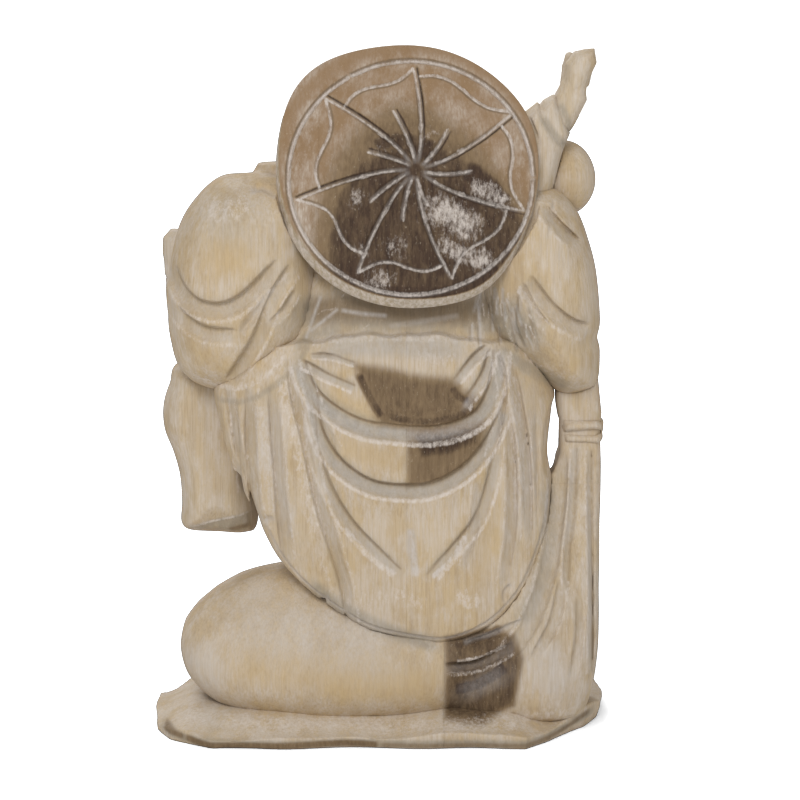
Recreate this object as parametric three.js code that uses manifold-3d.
// Carved travelling monk with a round hat and a cloth sack: pale softwood boards, glued up and
// carved all round, then whitewashed. Nothing moves. Millimetres, +Z up, the front faces -Y, and
// the origin is the middle of the flat underside. Left and right are the figure's own: left is +X.

import * as THREE from "three";
import { mergeVertices } from "three/addons/utils/BufferGeometryUtils.js";
import { ConvexGeometry } from "three/addons/geometries/ConvexGeometry.js";
import Module from "manifold-3d";

const wasm = await Module();
wasm.setup();

// Driving dimensions.
const height = 400;
const jointGap = 0.3;
const hatRadius = 0.1855 * height;
const hatCentre = new THREE.Vector3(-0.0425 * height, 0.0875 * height, 0.818 * height);
const hatTilt = THREE.MathUtils.degToRad(16);
const hatEdge = 0.0175 * height;
const hatRise = 0.03 * height;
const sackJointX = -0.094 * height;
const robeJointX = -0.04 * height;
const hatJointX = 0.085 * height;

// The whitewashed wood of each board, from pale sapwood to brown heartwood.
const woodColours = {
  pale: 0xc9b898,
  cream: 0xd6c7a6,
  tan: 0xb99b74,
  grey: 0xb5aa97,
};

// One measure of a form at height z, on a smooth curve through its stations.
function smoothThrough(stations, key, z) {
  const last = stations.length - 1;
  let i = 0;
  while (i < last - 1 && z > stations[i + 1].z) {
    i += 1;
  }
  const lower = stations[i];
  const upper = stations[i + 1];
  const before = stations[Math.max(i - 1, 0)];
  const after = stations[Math.min(i + 2, last)];
  const span = upper.z - lower.z;
  const t = THREE.MathUtils.clamp((z - lower.z) / span, 0, 1);
  const slopeLower = ((upper[key] - before[key]) / (upper.z - before.z)) * span;
  const slopeUpper = ((after[key] - lower[key]) / (after.z - lower.z)) * span;
  const t2 = t * t;
  const t3 = t2 * t;
  return (2 * t3 - 3 * t2 + 1) * lower[key] + (t3 - 2 * t2 + t) * slopeLower
    + (3 * t2 - 2 * t3) * upper[key] + (t3 - t2) * slopeUpper;
}

// A station of a carved form: its height, its centre, and half its width and depth there.
function station(z, x, y, halfWidth, halfDepth) {
  return { z, x, y, halfWidth, halfDepth };
}

// A rounded upright form through its stations. A low blunt keeps the ends full, 1 makes them round,
// and a square above 2 fills out the corners of its sections.
function carvedForm(form, grow = 0) {
  const { stations, sides = 22, rings = 14, blunt = 0.5, square = 2.4 } = form;
  const geometry = new THREE.SphereGeometry(1, sides, rings);
  const position = geometry.attributes.position;
  const bottom = stations[0].z - grow;
  const top = stations[stations.length - 1].z + grow;
  const power = 2 / square;
  for (let i = 0; i < position.count; i += 1) {
    const up = position.getY(i);
    const out = Math.sqrt(Math.max(0, 1 - up * up));
    const angle = Math.atan2(-position.getZ(i), position.getX(i));
    const z = bottom + (top - bottom) * (up + 1) / 2;
    const fullness = Math.pow(out, blunt);
    const halfWidth = (smoothThrough(stations, "halfWidth", z) + grow) * fullness;
    const halfDepth = (smoothThrough(stations, "halfDepth", z) + grow) * fullness;
    const across = Math.sign(Math.cos(angle)) * Math.pow(Math.abs(Math.cos(angle)), power);
    const along = Math.sign(Math.sin(angle)) * Math.pow(Math.abs(Math.sin(angle)), power);
    position.setXYZ(
      i,
      smoothThrough(stations, "x", z) + across * halfWidth,
      smoothThrough(stations, "y", z) + along * halfDepth,
      z,
    );
  }
  return geometry;
}

// A solid for joining and cutting, from a closed geometry.
function toSolid(geometry) {
  geometry.deleteAttribute("normal");
  geometry.deleteAttribute("uv");
  const merged = mergeVertices(geometry, 1e-4);
  return new wasm.Manifold(new wasm.Mesh({
    numProp: 3,
    vertProperties: new Float32Array(merged.attributes.position.array),
    triVerts: new Uint32Array(merged.index.array),
  }));
}

// A box with one face on a glue joint, x = jointX, reaching past the figure on the given side.
function boardSide(jointX, side) {
  const box = new THREE.BoxGeometry(height, height, 2 * height);
  box.translate(jointX + side * (height + jointGap) / 2, 0, height / 2);
  return toSolid(box);
}

// The hat: a shallow cone with a thick edge, turned about its own axis, flat against the back of the
// head and the shoulders.
function hatForm(grow = 0) {
  const rim = hatRadius + grow;
  const bevel = hatEdge / 4;
  const halfWay = rim / 2;
  const back = -hatEdge / 2 - grow;
  const front = hatEdge / 2 + grow;
  const profile = [
    new THREE.Vector2(0, back),
    new THREE.Vector2(rim - bevel, back),
    new THREE.Vector2(rim, back + bevel),
    new THREE.Vector2(rim, front - bevel),
    new THREE.Vector2(rim - bevel, front),
    new THREE.Vector2(halfWay, front + hatRise / 2),
    new THREE.Vector2(0, front + hatRise),
  ];
  const hatSides = 44;
  const geometry = new THREE.LatheGeometry(profile, hatSides);
  geometry.rotateX(hatTilt);
  geometry.translate(hatCentre.x, hatCentre.y, hatCentre.z);
  return geometry;
}

// The rocky base: a flat underside, a low chipped edge and a top that rises to the right.
function baseForm() {
  const corners = [
    [133.5, -30, 0], [126, 14, 0], [112, 28, 0], [101, 68, 0], [20, 75, 0], [-84, 74, 0],
    [-103, 28, 0], [-118, -16, 0], [-118, -52, 0], [-70, -74, 0], [40, -75, 0], [112, -64, 0],
    [112, 16, 10], [96, 60, 6], [30, 72, 7], [-60, 71, 12], [-82, 66, 8], [-112, 20, 16],
    [-133.5, -12, 17], [-132, -40, 16], [-72, -68, 14], [40, -70, 12], [108, -56, 10],
    [100, -10, 14], [80, 40, 14], [-20, 50, 16], [-80, 30, 18], [-100, -20, 20],
  ];
  return new ConvexGeometry(corners.map(([x, y, z]) => new THREE.Vector3(x, y, z)));
}

// Each upright form, by the name of its piece.
const forms = {
  shoulderGourd: {
    sides: 18, rings: 12, blunt: 1, square: 2,
    stations: [station(299, -106, -4, 20, 19), station(321, -107, -4, 18.5, 18),
      station(343, -106, -4, 18, 17)],
  },
  rightForearmCuff: {
    sides: 18, rings: 12, blunt: 0.35,
    stations: [station(298, -84, 12, 11, 12), station(315, -88, 12, 11, 12),
      station(341, -93, 12, 14, 13), station(366, -99, 10, 13, 11)],
  },
  rightHand: {
    sides: 14, rings: 12, blunt: 0.5,
    stations: [station(346, -101, 8, 8, 8), station(370, -108, 8, 10, 9),
      station(380, -112, 6, 8, 8), station(390, -116, 6, 9, 8), station(397, -117, 6, 8, 8)],
  },
  head: {
    sides: 22, rings: 14, blunt: 0.9, square: 2.1,
    stations: [station(284, -15, -8, 30, 34), station(320, -15, -5, 32, 38),
      station(362, -15, -2, 32, 38)],
  },
  belly: {
    sides: 22, rings: 14, blunt: 0.75, square: 2.1,
    stations: [station(128, -8, -20, 48, 34), station(175, -8, -22, 52, 38),
      station(225, -10, -16, 50, 32), station(280, -14, -6, 44, 28)],
  },
  leftHand: {
    sides: 14, rings: 10, blunt: 0.7,
    stations: [station(250, 110, -26, 19, 15), station(270, 110, -26, 19, 16),
      station(289, 110, -26, 19, 15)],
  },
  leftSleeve: {
    sides: 24, rings: 14, blunt: 0.42, square: 2.4,
    stations: [station(200, 84, 14, 36, 34), station(232, 81, 12, 40, 38),
      station(268, 80, 12, 40, 38), station(294, 77, 10, 41, 35), station(325, 76, 6, 34, 28)],
  },
  rightSleeve: {
    sides: 24, rings: 14, blunt: 0.3, square: 2.4,
    stations: [station(198, -111, 10, 17, 26), station(215, -105, 12, 23, 33),
      station(237, -94, 12, 34, 37), station(265, -89, 12, 37, 37), station(290, -84, 10, 38, 32),
      station(312, -78, 6, 32, 26)],
  },
  leftSleeveDrop: {
    sides: 18, rings: 14, blunt: 0.25,
    stations: [station(110, 98, -14, 20, 19), station(130, 97, -14, 21, 20),
      station(155, 98, -13, 23, 21), station(180, 101, -12, 27, 22), station(212, 98, -10, 24, 22)],
  },
  sackTie: {
    sides: 18, rings: 8, blunt: 0.5,
    stations: [station(165, -116, 10, 14.5, 17), station(172, -116, 10, 14.5, 17),
      station(179, -116, 10, 14.5, 17)],
  },
  sackNeck: {
    sides: 16, rings: 10, blunt: 0.2,
    stations: [station(140, -114, 10, 16, 19), station(158, -116, 10, 12, 15),
      station(176, -117, 10, 11, 13), station(206, -115, 10, 12, 15)],
  },
  robe: {
    sides: 32, rings: 24, blunt: 0.3, square: 2.6,
    stations: [station(50, -26, 26, 40, 40), station(62, -26, 24, 46, 42),
      station(80, -23, 21, 60, 43), station(100, -15, 18, 76, 44), station(127, -10, 15, 86, 46),
      station(153, -5, 13, 92, 47), station(180, -2, 12, 97, 46), station(208, -1, 11, 98, 44),
      station(240, -8, 10, 80, 40), station(275, -12, 10, 66, 38), station(304, -14, 8, 54, 34)],
  },
  skirt: {
    sides: 22, rings: 10, blunt: 0.3,
    stations: [station(28, -10, -34, 62, 20), station(70, -10, -34, 64, 22),
      station(135, -8, -28, 60, 20)],
  },
  leftFoot: {
    sides: 14, rings: 10, blunt: 0.5,
    stations: [station(10, 26, -50, 17, 22), station(26, 26, -48, 16, 20),
      station(40, 26, -44, 13, 15)],
  },
  rightFoot: {
    sides: 14, rings: 10, blunt: 0.5,
    stations: [station(10, -46, -50, 17, 22), station(26, -46, -48, 16, 20),
      station(40, -46, -44, 13, 15)],
  },
  sackLobe: {
    sides: 28, rings: 14, blunt: 0.5, square: 2.4,
    stations: [station(6, 22, 18, 95, 46), station(35, 20, 18, 98, 48),
      station(62, 18, 16, 99, 46), station(97, 20, 14, 84, 38)],
  },
  sackFan: {
    sides: 24, rings: 14, blunt: 0.25, square: 2.4,
    stations: [station(8, -80, 14, 47, 46), station(50, -84, 14, 45, 40),
      station(90, -91, 12, 38, 28), station(120, -102, 10, 27, 22), station(150, -113, 10, 16, 18)],
  },
};

// The pieces in the order of carving. A piece is cut back where it meets an earlier one, with the
// joint's gap between them.
const carved = [];

function carve(shape, grownShape) {
  const solid = carved.reduce((rest, earlier) => rest.subtract(earlier), shape);
  carved.push(grownShape);
  return solid;
}

function carveForm(name) {
  return carve(toSolid(carvedForm(forms[name])), toSolid(carvedForm(forms[name], jointGap)));
}

const group = new THREE.Group();

function addPiece(name, solid, colour) {
  const mesh = solid.getMesh();
  const geometry = new THREE.BufferGeometry();
  geometry.setAttribute("position", new THREE.BufferAttribute(mesh.vertProperties, 3));
  geometry.setIndex(new THREE.BufferAttribute(mesh.triVerts, 1));
  const wood = new THREE.MeshStandardMaterial({ color: colour, roughness: 0.75, metalness: 0 });
  const piece = new THREE.Mesh(geometry, wood);
  piece.name = name;
  group.add(piece);
}

// Two boards of one form, with a straight glue joint at jointX.
function addBoards(leftName, rightName, solid, jointX, leftColour, rightColour) {
  addPiece(leftName, solid.intersect(boardSide(jointX, 1)), leftColour);
  addPiece(rightName, solid.intersect(boardSide(jointX, -1)), rightColour);
}

const { pale, cream, tan, grey } = woodColours;

const base = toSolid(baseForm());
carved.push(base.translate(0, 0, jointGap));
addBoards("base_left_board", "base_right_board", base, sackJointX, pale, grey);
const hat = carve(toSolid(hatForm()), toSolid(hatForm(jointGap)));
addBoards("hat_left_board", "hat_right_board", hat, hatJointX, cream, tan);
addPiece("right_forearm_cuff", carveForm("rightForearmCuff"), cream);
addPiece("right_hand", carveForm("rightHand"), pale);
addPiece("shoulder_gourd", carveForm("shoulderGourd"), cream);
addPiece("left_hand", carveForm("leftHand"), pale);
addPiece("left_sleeve", carveForm("leftSleeve"), cream);
addPiece("right_sleeve", carveForm("rightSleeve"), cream);
addPiece("head", carveForm("head"), pale);
addPiece("belly_front", carveForm("belly"), pale);
addPiece("left_sleeve_drop", carveForm("leftSleeveDrop"), pale);
addPiece("sack_neck", carveForm("sackNeck"), grey);
addPiece("sack_tie", carveForm("sackTie"), pale);
addBoards("robe_left_board", "robe_right_board", carveForm("robe"), robeJointX, cream, tan);
addPiece("left_foot", carveForm("leftFoot"), pale);
addPiece("right_foot", carveForm("rightFoot"), pale);
addPiece("skirt_front", carveForm("skirt"), pale);
const lobe = toSolid(carvedForm(forms.sackLobe));
const fan = toSolid(carvedForm(forms.sackFan));
const sack = carve(lobe.add(fan), lobe);
addBoards("sack_left_board", "sack_right_board", sack, sackJointX, cream, grey);

export default group;
